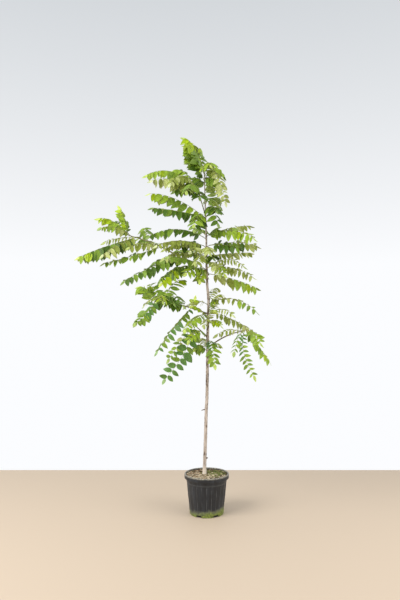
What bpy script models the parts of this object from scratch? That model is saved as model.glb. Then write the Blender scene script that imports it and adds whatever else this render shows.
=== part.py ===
# Young black walnut in a round nursery pot.
# Metres, +Z up, X to the right, Y away from the viewer. The origin is the middle of the pot's flat underside.
# The trunk runs from the soil to its tip. Boughs and stems of foliage stand 0.3 mm off the limb that
# carries them.
import bisect
import math
import random
from collections import namedtuple

import bmesh
import bpy
from mathutils import Matrix, Vector
from mathutils.bvhtree import BVHTree

SEED = 11
GAP = 0.0003
MERGE = 0.000001
SHARP_EDGE = math.radians(35)

# Pot: the wall rises from its base, through a fluted stretch and a plain collar, to a rolled rim
POT_SIDES = 48
POT_HEIGHT = 0.335
POT_WALL = 0.0025
POT_FLOOR = 0.004
BASE_RADIUS = 0.1435
FLUTE_LOW = 0.070
FLUTE_LOW_RADIUS = 0.1445
FLUTE_HIGH = 0.256
FLUTE_HIGH_RADIUS = 0.1630
FLUTE_DEPTH = 0.0025
COLLAR_LOW = 0.264
COLLAR_LOW_RADIUS = 0.1680
COLLAR_HIGH = 0.289
COLLAR_HIGH_RADIUS = 0.1705
RIM_LOW = 0.298
RIM_RADIUS = 0.1875
RIM_TAPER = 0.0015
NOTCH_COUNT = 6
NOTCH_TURN = math.radians(3)
NOTCH_WIDTH = 0.044
NOTCH_HEIGHT = 0.015
NOTCH_DEPTH = 0.012

# Soil
SOIL_TOP = 0.322
SOIL_SIDES = 24
SOIL_RINGS = 3
SOIL_LUMP = 0.004
SOIL_LEVEL_RADIUS = 0.05

# Trunk: height, sideways place, depth and radius of its sections
Section = namedtuple("Section", "height side depth radius")
TRUNK_SIDES = 10
TRUNK = [
    Section(SOIL_TOP + GAP, -0.019, 0.030, 0.0200),
    Section(0.336, -0.019, 0.030, 0.0170),
    Section(0.375, -0.018, 0.029, 0.0152),
    Section(0.500, -0.014, 0.027, 0.0144),
    Section(0.700, -0.008, 0.024, 0.0138),
    Section(0.880, -0.003, 0.022, 0.0133),
    Section(1.000, 0.003, 0.021, 0.0129),
    Section(1.370, 0.008, 0.018, 0.0120),
    Section(1.630, 0.011, 0.016, 0.0115),
    Section(1.800, 0.015, 0.014, 0.0110),
    Section(1.920, 0.005, 0.012, 0.0104),
    Section(2.050, 0.000, 0.010, 0.0096),
    Section(2.220, -0.002, 0.008, 0.0085),
    Section(2.345, -0.004, 0.006, 0.0074),
    Section(2.540, -0.010, 0.003, 0.0058),
    Section(2.720, -0.016, 0.000, 0.0044),
]
STUB_HEIGHT = 0.872
STUB_COMPASS = 190
STUB_LENGTH = 0.029
STUB_SLOPE = 0.4
STUB_RADIUS = 0.0045

# A bough or a leaf leaves its foot by the compass (0 right, 90 away, 180 left, 270 nearer), reaches out,
# rises, and bows upwards by its arch half way along. A leaf may bow sideways too, to the left of its way,
# roll about its stalk by some degrees, and let its leaflets hang more or less than others do
Bough = namedtuple("Bough", "foot compass reach rise arch root_radius tip_radius")
BOUGH_SIDES = 6
BOUGH_STEPS = 7
BOUGHS = {
    "bough_long_left": Bough(1.990, 172, 0.64, 0.355, 0.045, 0.0074, 0.0042),
    "bough_lower_left": Bough(1.678, 200, 0.32, 0.092, 0.006, 0.0062, 0.0040),
    "bough_small_left": Bough(1.470, 150, 0.10, 0.090, 0.005, 0.0050, 0.0040),
    "bough_lower_right": Bough(1.390, 335, 0.29, 0.140, 0.020, 0.0064, 0.0042),
    "bough_upper_left": Bough(2.500, 190, 0.045, 0.150, 0.005, 0.0048, 0.0040),
}

# Stems: a mass grows from a limb's tip, as a shoot with a place for each leaf, or from a limb's side
Mass = namedtuple("Mass", "limb foot leaves")
Leaf = namedtuple("Leaf", "compass reach rise arch bow roll hang", defaults=(0.0, 0.0, 1.0))
TIP = 1.0
STEM_SIDES = 3
STEM_RADIUS = 0.0042
STEM_LENGTH = 0.032
STEM_OUT = 0.8
STEM_UP = 0.6
SIDE_LEAF_SHARE = 0.9
SHOOT_SPACING = 0.016
SHOOT_TOP_SHARE = 0.88
SHOOT_LEAF_SPREAD = 0.70

# Leaf stalks: three-sided rods, bare at their foot
STALK_RADIUS = 0.0029
STALK_TIP_RADIUS = 0.0017
STALK_STEPS = 4
ARCH_STEPS = 16
BARE_LENGTH = 0.085
BARE_SHARE = 0.22

# Leaflets: the spacing of their pairs, where the pairs start and stop in spacings, and the size of each
PAIR_SPACING = 0.080
PAIRS_LEAST = 3
PAIR_FIRST = 0.3
PAIR_LAST = 0.5
PAIR_STAGGER = 0.12
PAIR_LIMIT = 0.98
LEAFLET_LENGTH = 0.100
LEAFLET_WIDTH = 0.048
LEAFLET_THICKNESS = 0.0024
LEAFLET_WIDEST = 0.40
LEAFLET_ROOT = 0.0008
SIZE_LEAST = 0.78
SIZE_SWELL = 0.32
SIZE_END = 0.8
SIZE_CHANCE = (0.90, 1.08)
END_LEAFLET_LENGTH = 0.080

# How a leaflet points: out to its side, on towards the leaf's tip, and down. A leaf that grows to the right
# or the left turns its top to the light in front by some degrees
LIGHT_TURN = 38
LEAFLET_OUT = (0.65, 0.90)
LEAFLET_ON = 0.35
LEAFLET_DOWN = (0.50, 0.85)
END_LEAFLET_DOWN = 0.3
END_LEAFLET_TILT = (0.5, 1.0)

# What a leaf keeps clear of: other masses and limbs by a distance, and the bare foot of the crown
CLEAR = 0.0012
CROWN_FOOT = 1.02

FOLIAGE = {
    "foliage_leader": Mass("trunk", TIP, [
        Leaf(190, 0.215, 0.44, 0.06, roll=-10, hang=1.5), Leaf(125, 0.26, 0.48, 0.01, bow=-0.05, roll=-15),
        Leaf(280, 0.34, 0.10, 0.07), Leaf(320, 0.24, -0.19, 0.17), Leaf(60, 0.30, -0.17, 0.12),
        Leaf(205, 0.20, 0.27, 0.05, roll=-10, hang=1.4)]),
    "foliage_upper_left_tip": Mass("bough_upper_left", TIP, [
        Leaf(145, 0.34, 0.28, 0.07), Leaf(190, 0.50, 0.15, 0.105, hang=1.6), Leaf(220, 0.35, 0.03, 0.11),
        Leaf(255, 0.42, -0.06, 0.07), Leaf(200, 0.47, 0.08, 0.07, hang=1.5)]),
    "foliage_left_1": Mass("trunk", 2.48, [
        Leaf(175, 0.53, 0.225, 0.06, hang=1.5), Leaf(200, 0.51, 0.065, 0.02, hang=1.4),
        Leaf(250, 0.30, -0.13, 0.06)]),
    "foliage_left_2": Mass("trunk", 2.31, [Leaf(185, 0.525, -0.005, 0.06, hang=1.3)]),
    "foliage_left_3": Mass("trunk", 2.235, [Leaf(210, 0.49, -0.03, 0.07)]),
    "foliage_left_4": Mass("trunk", 2.15, [Leaf(140, 0.41, 0.09, 0.03), Leaf(200, 0.42, -0.04, 0.05)]),
    "foliage_left_5": Mass("trunk", 2.04, [Leaf(220, 0.45, 0.085, 0.04), Leaf(220, 0.45, -0.21, 0.00)]),
    "foliage_right_1": Mass("trunk", 2.33, [
        Leaf(15, 0.44, 0.115, 0.02, roll=12), Leaf(340, 0.46, -0.06, 0.06)]),
    "foliage_right_2": Mass("trunk", 2.24, [Leaf(5, 0.48, 0.01, 0.03, roll=12)]),
    "foliage_right_3": Mass("trunk", 2.15, [Leaf(25, 0.49, 0.11, 0.01, roll=12)]),
    "foliage_right_4": Mass("trunk", 2.06, [Leaf(325, 0.41, -0.03, 0.07), Leaf(350, 0.435, -0.10, 0.06)]),
    "foliage_right_5": Mass("trunk", 2.00, [Leaf(20, 0.51, -0.11, 0.02, hang=1.9)]),
    "foliage_right_6": Mass("trunk", 1.755, [Leaf(345, 0.45, -0.09, 0.08)]),
    "foliage_right_7": Mass("trunk", 1.67, [Leaf(10, 0.49, -0.215, 0.04), Leaf(320, 0.30, -0.03, 0.05)]),
    "foliage_front_1": Mass("trunk", 2.54, [Leaf(297, 0.24, -0.06, 0.04)]),
    "foliage_front_2": Mass("trunk", 2.17, [Leaf(275, 0.42, -0.05, 0.06)]),
    "foliage_front_3": Mass("trunk", 2.09, [Leaf(285, 0.42, -0.18, 0.05)]),
    "foliage_front_4": Mass("trunk", 1.65, [Leaf(245, 0.46, -0.13, 0.05)]),
    "foliage_front_5": Mass("trunk", 1.60, [Leaf(265, 0.38, -0.04, 0.04)]),
    "foliage_front_6": Mass("trunk", 1.48, [Leaf(235, 0.36, -0.06, 0.07)]),
    "foliage_front_7": Mass("trunk", 1.43, [Leaf(282, 0.31, -0.17, 0.08)]),
    "foliage_back_1": Mass("trunk", 2.60, [Leaf(75, 0.46, 0.08, 0.06)]),
    "foliage_back_2": Mass("trunk", 2.335, [Leaf(110, 0.42, 0.10, 0.04)]),
    "foliage_back_3": Mass("trunk", 2.03, [Leaf(105, 0.32, -0.08, 0.05)]),
    "foliage_back_4": Mass("trunk", 1.76, [Leaf(75, 0.42, 0.13, 0.07)]),
    "foliage_back_5": Mass("trunk", 1.745, [Leaf(120, 0.46, -0.01, 0.04)]),
    "foliage_back_6": Mass("trunk", 1.37, [Leaf(70, 0.36, 0.05, 0.04)]),
    "foliage_back_7": Mass("trunk", 1.36, [Leaf(100, 0.40, 0.08, 0.05)]),
    "foliage_long_near": Mass("bough_long_left", 0.17, [
        Leaf(150, 0.38, -0.15, 0.06), Leaf(195, 0.36, -0.22, 0.02)]),
    "foliage_long_low": Mass("bough_long_left", 0.32, [Leaf(195, 0.56, -0.21, 0.03)]),
    "foliage_long_back": Mass("bough_long_left", 0.82, [Leaf(102, 0.40, 0.17, 0.04)]),
    "foliage_long_middle": Mass("bough_long_left", 0.60, [
        Leaf(178, 0.57, -0.13, -0.01, roll=26, hang=0.5), Leaf(205, 0.36, -0.03, 0.04)]),
    "foliage_long_end": Mass("bough_long_left", 0.90, [
        Leaf(190, 0.57, -0.185, 0.03, hang=1.4), Leaf(200, 0.37, -0.15, 0.03, hang=1.5)]),
    "foliage_long_tip": Mass("bough_long_left", TIP, [
        Leaf(160, 0.155, 0.275, 0.05, hang=1.4), Leaf(185, 0.33, 0.14, 0.055, hang=1.2),
        Leaf(135, 0.30, 0.18, 0.03), Leaf(215, 0.35, 0.03, 0.05, hang=1.6)]),
    "foliage_lower_left_middle": Mass("bough_lower_left", 0.45, [Leaf(215, 0.37, -0.39, 0.03, roll=28)]),
    "foliage_lower_left_tip": Mass("bough_lower_left", TIP, [
        Leaf(190, 0.31, 0.09, 0.03), Leaf(150, 0.25, 0.17, 0.03), Leaf(205, 0.35, -0.17, -0.02, roll=-25),
        Leaf(265, 0.38, -0.03, 0.05), Leaf(110, 0.30, 0.06, 0.03)]),
    "foliage_small_left_tip": Mass("bough_small_left", TIP, [
        Leaf(172, 0.28, -0.31, 0.01, roll=-20, hang=0.5),
        Leaf(210, 0.35, -0.46, -0.01, bow=0.08, roll=-32, hang=0.15), Leaf(105, 0.40, 0.02, 0.04)]),
    "foliage_lower_right_tip": Mass("bough_lower_right", TIP, [
        Leaf(325, 0.23, -0.13, 0.02), Leaf(15, 0.29, -0.28, 0.00),
        Leaf(300, 0.26, -0.39, 0.02, bow=-0.07, roll=35, hang=0.15), Leaf(255, 0.25, -0.20, 0.05)]),
}

# Finish of each part: colour, roughness
FINISH = {
    "pot_plastic": ((0.045, 0.046, 0.048), 0.55),
    "soil_mulch": ((0.16, 0.11, 0.07), 0.95),
    "bark": ((0.42, 0.35, 0.28), 0.85),
    "leaf_green": ((0.12, 0.26, 0.03), 0.50),
}

UP = Vector((0.0, 0.0, 1.0))


def clear_scene():
    for thing in list(bpy.data.objects):
        bpy.data.objects.remove(thing, do_unlink=True)


def material(name, finish):
    colour, roughness = FINISH[finish]
    made = bpy.data.materials.new(name)
    made.use_nodes = True
    shader = made.node_tree.nodes["Principled BSDF"]
    shader.inputs["Base Color"].default_value = (*colour, 1.0)
    shader.inputs["Roughness"].default_value = roughness
    shader.inputs["Metallic"].default_value = 0.0
    return made


def shade_round(mesh):
    """Smooth shading on round faces, with true edges left sharp."""
    mesh.shade_smooth()
    mesh.set_sharp_from_angle(angle=SHARP_EDGE)


def finish_object(thing, finish, origin=None, carrier=None):
    """Gives an object its material and its own origin, and parents it to what carries it."""
    thing.data.materials.clear()
    thing.data.materials.append(material(thing.name, finish))
    if origin:
        thing.data.transform(Matrix.Translation(-origin))
        thing.location = origin
    if carrier:
        bpy.context.view_layer.update()
        thing.parent = carrier
        thing.matrix_parent_inverse = carrier.matrix_world.inverted()


def add_object(name, mesh, home=None):
    thing = bpy.data.objects.new(name, mesh)
    (home or bpy.context.scene.collection).objects.link(thing)
    return thing


def mesh_from(bm, name):
    mesh = bpy.data.meshes.new(name)
    bm.to_mesh(mesh)
    bm.free()
    return mesh


def compass_direction(degrees):
    turn = math.radians(degrees)
    return Vector((math.cos(turn), math.sin(turn), 0.0))


def arched_line(start, end, bow, steps):
    """Points along a curve from start to end that bows out by a vector at its middle."""
    knee = (start + end) / 2 + 2 * bow
    line = []
    for step in range(steps + 1):
        share = step / steps
        line.append((1 - share) ** 2 * start + 2 * share * (1 - share) * knee + share ** 2 * end)
    return line


def place_on(line, share):
    """Point and direction at a share of a line's length."""
    lengths = [0.0]
    for near, far in zip(line, line[1:]):
        lengths.append(lengths[-1] + (far - near).length)
    wanted = share * lengths[-1]
    step = min(bisect.bisect_right(lengths, wanted), len(line) - 1)
    near, far = line[step - 1], line[step]
    part = (wanted - lengths[step - 1]) / (lengths[step] - lengths[step - 1])
    return near.lerp(far, part), (far - near).normalized()


def taper(root, tip, count):
    return [root + (tip - root) * step / (count - 1) for step in range(count)]


def tube(line, radii, sides):
    """Closed bmesh tube: a ring at each point, each one bridged to the last, with both ends capped."""
    bm = bmesh.new()
    across = None
    last_ring = None
    for step, point in enumerate(line):
        before = line[max(step - 1, 0)]
        after = line[min(step + 1, len(line) - 1)]
        ahead = (after - before).normalized()
        if across is None:
            across = ahead.orthogonal().normalized()
        across = (across - across.dot(ahead) * ahead).normalized()
        turn = Matrix((across, ahead.cross(across), ahead)).transposed().to_4x4()
        made = bmesh.ops.create_circle(
            bm, segments=sides, radius=radii[step], matrix=Matrix.Translation(point) @ turn)
        ring = made["verts"]
        if last_ring:
            for side in range(sides):
                other = (side + 1) % sides
                bm.faces.new((last_ring[side], last_ring[other], ring[other], ring[side]))
        else:
            bm.faces.new(list(reversed(ring)))
        last_ring = ring
    bm.faces.new(last_ring)
    bmesh.ops.recalc_face_normals(bm, faces=bm.faces[:])
    bmesh.ops.triangulate(bm, faces=bm.faces[:])
    return bm


def turned(profile, sides):
    """Closed shape turned about the Z axis from an outline of radius and height that ends on the axis."""
    bm = bmesh.new()
    verts = [bm.verts.new((radius, 0.0, height)) for radius, height in profile]
    edges = [bm.edges.new(pair) for pair in zip(verts, verts[1:])]
    bmesh.ops.spin(
        bm, geom=verts + edges, cent=(0, 0, 0), axis=(0, 0, 1), angle=2 * math.pi,
        steps=sides, use_merge=True)
    bmesh.ops.remove_doubles(bm, verts=bm.verts[:], dist=MERGE)
    bmesh.ops.recalc_face_normals(bm, faces=bm.faces[:])
    return bm


def pot_outline(inset, floor, top):
    """Radius and height along the pot's wall, from its floor to its rim, set in from the outer face."""
    return [
        (BASE_RADIUS - inset, floor),
        (FLUTE_LOW_RADIUS - inset, FLUTE_LOW),
        (FLUTE_HIGH_RADIUS - inset, FLUTE_HIGH),
        (COLLAR_LOW_RADIUS - inset, COLLAR_LOW),
        (COLLAR_HIGH_RADIUS - inset, COLLAR_HIGH + inset / 2),
        (RIM_RADIUS - inset, RIM_LOW + inset / 2),
        (RIM_RADIUS - RIM_TAPER - inset, top),
    ]


def notch_cutter(turn):
    """Block that leaves a low drainage mouth at the foot of the wall."""
    bm = bmesh.new()
    bmesh.ops.create_cube(bm, size=1.0)
    mesh = mesh_from(bm, "notch_cutter")
    mesh.transform(Matrix.Diagonal((2 * NOTCH_DEPTH, NOTCH_WIDTH, 2 * NOTCH_HEIGHT, 1.0)))
    cutter = add_object("notch_cutter", mesh)
    middle = Vector((BASE_RADIUS * math.cos(turn), BASE_RADIUS * math.sin(turn), 0.0))
    cutter.matrix_world = Matrix.Translation(middle) @ Matrix.Rotation(turn, 4, "Z")
    return cutter


def boolean(thing, operation, other, solver="EXACT"):
    """Boolean modifier with one other object or with a collection of them."""
    modifier = thing.modifiers.new(operation.lower(), "BOOLEAN")
    modifier.operation = operation
    modifier.solver = solver
    if isinstance(other, bpy.types.Collection):
        modifier.operand_type = "COLLECTION"
        modifier.collection = other
    else:
        modifier.object = other
    return modifier


def settle(thing):
    """Applies the object's modifiers."""
    bpy.context.view_layer.update()
    seen = thing.evaluated_get(bpy.context.evaluated_depsgraph_get())
    mesh = bpy.data.meshes.new_from_object(seen)
    mesh.name = thing.name
    thing.modifiers.clear()
    thing.data = mesh


def closed(mesh):
    """Whether every edge of a mesh joins exactly two faces."""
    bm = bmesh.new()
    bm.from_mesh(mesh)
    whole = all(edge.is_manifold for edge in bm.edges)
    bm.free()
    return whole


def raise_flutes(bm):
    """Pushes every second column of the wall's outer face out, between two heights."""
    for height, wall_radius in ((FLUTE_LOW, FLUTE_LOW_RADIUS), (FLUTE_HIGH, FLUTE_HIGH_RADIUS)):
        for vert in bm.verts:
            radius = math.hypot(vert.co.x, vert.co.y)
            column = round(math.atan2(vert.co.y, vert.co.x) * POT_SIDES / (2 * math.pi))
            on_outside = abs(radius - wall_radius) < GAP and abs(vert.co.z - height) < GAP
            if on_outside and column % 2 == 0:
                vert.co.xy *= (radius + FLUTE_DEPTH) / radius


def build_pot():
    outer = pot_outline(0.0, 0.0, POT_HEIGHT)
    inner = pot_outline(POT_WALL, POT_FLOOR, POT_HEIGHT)
    bm = turned([(0.0, 0.0)] + outer + inner[::-1] + [(0.0, POT_FLOOR)], POT_SIDES)
    raise_flutes(bm)
    bmesh.ops.triangulate(bm, faces=bm.faces[:])
    pot = add_object("pot", mesh_from(bm, "pot"))
    cutters = [notch_cutter(NOTCH_TURN + 2 * math.pi * count / NOTCH_COUNT) for count in range(NOTCH_COUNT)]
    for cutter in cutters:
        boolean(pot, "DIFFERENCE", cutter)
    settle(pot)
    for cutter in cutters:
        bpy.data.objects.remove(cutter, do_unlink=True)
    shade_round(pot.data)
    finish_object(pot, "pot_plastic")
    return pot


def build_soil(pot):
    """Soil that fills the pot to a little under its rim, lumpy on top and level round the trunk."""
    lumps = random.Random(SEED)
    sides = pot_outline(POT_WALL + GAP, POT_FLOOR + GAP, SOIL_TOP)
    edge = sides[-1][0]
    rings = [(edge * (SOIL_RINGS - step) / SOIL_RINGS, SOIL_TOP) for step in range(1, SOIL_RINGS + 1)]
    bm = turned([(0.0, POT_FLOOR + GAP)] + sides + rings, SOIL_SIDES)
    for vert in bm.verts:
        from_trunk = math.hypot(vert.co.x - TRUNK[0].side, vert.co.y - TRUNK[0].depth)
        if abs(vert.co.z - SOIL_TOP) < GAP and from_trunk > SOIL_LEVEL_RADIUS:
            vert.co.z -= lumps.uniform(0.0, SOIL_LUMP)
    bmesh.ops.triangulate(bm, faces=bm.faces[:])
    soil = add_object("soil", mesh_from(bm, "soil"))
    shade_round(soil.data)
    finish_object(soil, "soil_mulch", carrier=pot)
    return soil


def limb_lines():
    """The middle line of the trunk and of each bough, by name."""
    lines = {"trunk": [Vector((part.side, part.depth, part.height)) for part in TRUNK]}
    for name, bough in BOUGHS.items():
        foot = trunk_place(lines["trunk"], bough.foot)
        end = foot + bough.reach * compass_direction(bough.compass) + bough.rise * UP
        lines[name] = arched_line(foot, end, bough.arch * UP, BOUGH_STEPS)
    return lines


def trunk_place(line, height):
    """Point on the trunk's middle line at a height above the ground."""
    for near, far in zip(line, line[1:]):
        if near.z <= height <= far.z:
            return near.lerp(far, (height - near.z) / (far.z - near.z))
    return line[-1].copy()


def limb_shape(name, line, extra=0.0):
    """Tube of a limb, or a fatter copy of it that leaves a gap when it cuts what meets the limb."""
    if name == "trunk":
        return tube(line, [part.radius + extra for part in TRUNK], TRUNK_SIDES)
    bough = BOUGHS[name]
    radii = taper(bough.root_radius + extra, bough.tip_radius + extra, len(line))
    return tube(line, radii, BOUGH_SIDES)


def cut_clear(thing, name, lines):
    """Cuts a limb or a stem back to a gap off the limb that carries it."""
    cutter = add_object("cutter", mesh_from(limb_shape(name, lines[name], GAP), "cutter"))
    boolean(thing, "DIFFERENCE", cutter)
    settle(thing)
    bpy.data.objects.remove(cutter, do_unlink=True)


def build_trunk(line, soil):
    """The trunk, with the short stub of a lost twig on its side."""
    trunk = add_object("trunk", mesh_from(limb_shape("trunk", line), "trunk"))
    foot = trunk_place(line, STUB_HEIGHT)
    end = foot + STUB_LENGTH * (compass_direction(STUB_COMPASS) + STUB_SLOPE * UP)
    stub = tube([foot, end], taper(STUB_RADIUS, STUB_RADIUS / 2, 2), BOUGH_SIDES)
    twig = add_object("stub", mesh_from(stub, "stub"))
    boolean(trunk, "UNION", twig)
    settle(trunk)
    bpy.data.objects.remove(twig, do_unlink=True)
    shade_round(trunk.data)
    finish_object(trunk, "bark", line[0], soil)
    return trunk


def build_boughs(lines, trunk):
    limbs = {"trunk": trunk}
    for name in BOUGHS:
        limb = add_object(name, mesh_from(limb_shape(name, lines[name]), name))
        cut_clear(limb, "trunk", lines)
        shade_round(limb.data)
        finish_object(limb, "bark", lines[name][0], trunk)
        limbs[name] = limb
    return limbs


def leaflet_mesh():
    """One leaflet of eight faces along +X from its root, flat in XY, widest nearer its root."""
    bm = bmesh.new()
    bmesh.ops.create_uvsphere(bm, u_segments=4, v_segments=2, radius=0.5)
    bmesh.ops.rotate(bm, verts=bm.verts[:], matrix=Matrix.Rotation(math.pi / 2, 3, "Y"))
    for vert in bm.verts:
        at_end = abs(vert.co.x) > MERGE
        vert.co.x = vert.co.x + 0.5 if at_end else LEAFLET_WIDEST
    return mesh_from(bm, "leaflet")


def leaflet_place(root, ahead, flat, length):
    """Matrix that lays the leaflet from its root along ahead, with its width along flat."""
    width_way = (flat - flat.dot(ahead) * ahead).normalized()
    turn = Matrix((ahead, width_way, ahead.cross(width_way))).transposed().to_4x4()
    sunk = root - LEAFLET_ROOT * ahead
    return Matrix.Translation(sunk) @ turn, length + LEAFLET_ROOT


def leaflet_rule(line, leaf, chance):
    """Places for one leaf's leaflets: pairs that hang to both sides of its stalk, and one at its end."""
    total = sum((far - near).length for near, far in zip(line, line[1:]))
    bare = min(BARE_LENGTH, BARE_SHARE * total)
    pairs = max(PAIRS_LEAST, round((total - bare) / PAIR_SPACING))
    way = line[-1] - line[0]
    turn = math.radians(LIGHT_TURN * math.cos(math.radians(leaf.compass)) + leaf.roll)
    side = (Matrix.Rotation(turn, 3, way) @ way.cross(UP)).normalized()
    places = []
    for pair in range(pairs):
        step = (pair + PAIR_FIRST) / (pairs - 1 + PAIR_FIRST + PAIR_LAST)
        middle = (pair + SIZE_END) / (pairs - 1 + 2 * SIZE_END)
        size = LEAFLET_LENGTH * (SIZE_LEAST + SIZE_SWELL * math.sin(math.pi * middle))
        hang = leaf.hang * chance.uniform(*LEAFLET_DOWN)
        for hand in (-1, 1):
            share = (bare + (total - bare) * step) / total + hand * PAIR_STAGGER / pairs
            point, ahead = place_on(line, min(share, PAIR_LIMIT))
            sag = UP - UP.dot(ahead) * ahead
            out = side * hand * chance.uniform(*LEAFLET_OUT) + LEAFLET_ON * ahead - hang * sag
            length = size * chance.uniform(*SIZE_CHANCE)
            places.append(leaflet_place(point, out.normalized(), ahead, length))
    point, ahead = line[-1], (line[-1] - line[-2]).normalized()
    flat = side + chance.uniform(*END_LEAFLET_TILT) * UP
    out = (ahead - END_LEAFLET_DOWN * UP).normalized()
    places.append(leaflet_place(point, out, flat, END_LEAFLET_LENGTH))
    return places


def shape_tree(mesh, matrix):
    """Search tree of a mesh in its place, to test what it would touch."""
    verts = [matrix @ vert.co for vert in mesh.vertices]
    return BVHTree.FromPolygons(verts, [tuple(face.vertices) for face in mesh.polygons])


def leaflet_tree(mesh, frame, length):
    """Search tree of a leaflet grown by the clearance it keeps."""
    grown = Matrix.Diagonal((
        length + 2 * CLEAR, LEAFLET_WIDTH * length / LEAFLET_LENGTH + 2 * CLEAR,
        LEAFLET_THICKNESS + 2 * CLEAR, 1.0))
    return shape_tree(mesh, frame @ Matrix.Translation((-CLEAR, 0, 0)) @ grown)


def mass_stem(mass, lines):
    """Middle line of a mass's stem: on from a limb's tip, or out from the limb's middle line."""
    line = lines[mass.limb]
    if mass.foot == TIP:
        point, ahead = line[-1], (line[-1] - line[-2]).normalized()
        start = point + GAP * ahead
        return [start, start + SHOOT_SPACING * len(mass.leaves) * ahead]
    if mass.limb == "trunk":
        start = trunk_place(line, mass.foot)
    else:
        start, _ = place_on(line, mass.foot)
    mean = sum((compass_direction(leaf.compass) for leaf in mass.leaves), Vector()).normalized()
    return [start, start + STEM_LENGTH * (STEM_OUT * mean + STEM_UP * UP)]


def leaf_line(mass, number, leaf, lines, stem):
    """Middle line of a leaf's stalk from its place on the stem to the foot of its last leaflet."""
    ahead = compass_direction(leaf.compass)
    if mass.foot == TIP:
        foot = lines[mass.limb][-1]
        share = SHOOT_TOP_SHARE - SHOOT_LEAF_SPREAD * number / len(mass.leaves)
    else:
        foot = stem[0]
        share = SIDE_LEAF_SHARE
    start = stem[0].lerp(stem[1], share)
    end = foot + leaf.reach * ahead + leaf.rise * UP
    whole = arched_line(start, end, leaf.arch * UP + leaf.bow * UP.cross(ahead), ARCH_STEPS)
    kept = 1.0 - END_LEAFLET_LENGTH / (end - start).length
    return [place_on(whole, kept * step / STALK_STEPS)[0] for step in range(STALK_STEPS + 1)]


def stalk_shape(line, extra=0.0):
    radii = taper(STALK_RADIUS + extra, STALK_TIP_RADIUS + extra, len(line))
    return tube(line, radii, STEM_SIDES)


def touches(bm, others):
    """Whether a bmesh meets any of the search trees."""
    tree = BVHTree.FromBMesh(bm)
    bm.free()
    return any(tree.overlap(other) for other in others)


def grow_leaves(name, mass, lines, stem, leaflet, taken, limb_trees):
    """Stalks and leaflets of one mass in a collection, each left out where it would touch another part."""
    chance = random.Random(f"{SEED} {name}")
    home = bpy.data.collections.new(name)
    bpy.context.scene.collection.children.link(home)
    other_limbs = [tree for limb, tree in limb_trees.items() if limb != mass.limb]
    everything = taken + list(limb_trees.values())
    grown = []
    for number, leaf in enumerate(mass.leaves):
        line = leaf_line(mass, number, leaf, lines, stem)
        if touches(stalk_shape(line, CLEAR), taken + other_limbs):
            continue
        stalk = mesh_from(stalk_shape(line), "stalk")
        add_object("stalk", stalk, home)
        grown.append(shape_tree(stalk, Matrix()))
        for frame, length in leaflet_rule(line, leaf, chance):
            probe = leaflet_tree(leaflet, frame, length)
            tip = frame @ Vector((length, 0.0, 0.0))
            if tip.z < CROWN_FOOT or any(probe.overlap(other) for other in everything):
                continue
            piece = leaflet.copy()
            piece.transform(frame @ Matrix.Diagonal((
                length, LEAFLET_WIDTH * length / LEAFLET_LENGTH, LEAFLET_THICKNESS, 1.0)))
            add_object("leaflet", piece, home)
            grown.append(shape_tree(piece, Matrix()))
    taken += grown
    return home


def fuse(thing, home):
    """Joins a collection's objects to a closed mesh and removes them."""
    before = thing.data
    for solver in ("EXACT", "MANIFOLD"):
        thing.data = before
        boolean(thing, "UNION", home, solver)
        settle(thing)
        if closed(thing.data):
            break
    for piece in list(home.objects):
        bpy.data.objects.remove(piece, do_unlink=True)
    bpy.data.collections.remove(home)


def build_mass(name, mass, lines, leaflet, taken, limb_trees, limbs):
    """One mass of foliage: stalks from one stem and leaflets on each stalk, joined into one solid."""
    stem = mass_stem(mass, lines)
    thing = add_object(name, mesh_from(tube(stem, taper(STEM_RADIUS, STALK_RADIUS, 2), STEM_SIDES), name))
    fuse(thing, grow_leaves(name, mass, lines, stem, leaflet, taken, limb_trees))
    if mass.foot != TIP:
        cut_clear(thing, mass.limb, lines)
    finish_object(thing, "leaf_green", stem[0], limbs[mass.limb])


def build_foliage(lines, limbs):
    leaflet = leaflet_mesh()
    limb_trees = {}
    for name, line in lines.items():
        bm = limb_shape(name, line, CLEAR)
        limb_trees[name] = BVHTree.FromBMesh(bm)
        bm.free()
    taken = []
    for name, mass in FOLIAGE.items():
        build_mass(name, mass, lines, leaflet, taken, limb_trees, limbs)


def main():
    clear_scene()
    pot = build_pot()
    soil = build_soil(pot)
    lines = limb_lines()
    trunk = build_trunk(lines["trunk"], soil)
    limbs = build_boughs(lines, trunk)
    build_foliage(lines, limbs)


main()
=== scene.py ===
# %% [markdown]
# # A young black walnut in a nursery pot
# The plant is one slim trunk, five boughs and about a hundred feathery leaves, most of them 30 to 60 cm long,
# each with a row of leaflets down both sides. The solid model gives its outline. This script grows finer
# leaflets by the same rule, dresses the limbs in bark, and turns a finer pot. Everything is in metres.

# %% Load the frame
import bisect
import math
import random
from collections import namedtuple

import bmesh
import bpy
import numpy as np
from mathutils import Matrix, Vector, noise
from mathutils.bvhtree import BVHTree


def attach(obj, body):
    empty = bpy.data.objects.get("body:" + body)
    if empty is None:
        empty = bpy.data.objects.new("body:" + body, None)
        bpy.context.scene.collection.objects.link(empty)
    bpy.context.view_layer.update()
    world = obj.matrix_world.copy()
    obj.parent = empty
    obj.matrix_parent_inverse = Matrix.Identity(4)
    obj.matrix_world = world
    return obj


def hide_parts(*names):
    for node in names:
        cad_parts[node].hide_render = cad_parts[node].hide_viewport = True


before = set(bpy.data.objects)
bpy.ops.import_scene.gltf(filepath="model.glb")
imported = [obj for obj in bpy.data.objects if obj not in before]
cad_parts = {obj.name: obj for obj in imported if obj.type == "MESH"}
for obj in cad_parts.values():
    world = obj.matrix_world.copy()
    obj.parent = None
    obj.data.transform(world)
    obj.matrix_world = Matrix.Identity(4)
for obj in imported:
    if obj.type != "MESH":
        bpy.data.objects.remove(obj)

SEED = 11
MERGE = 0.000001
UP = Vector((0.0, 0.0, 1.0))
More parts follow.
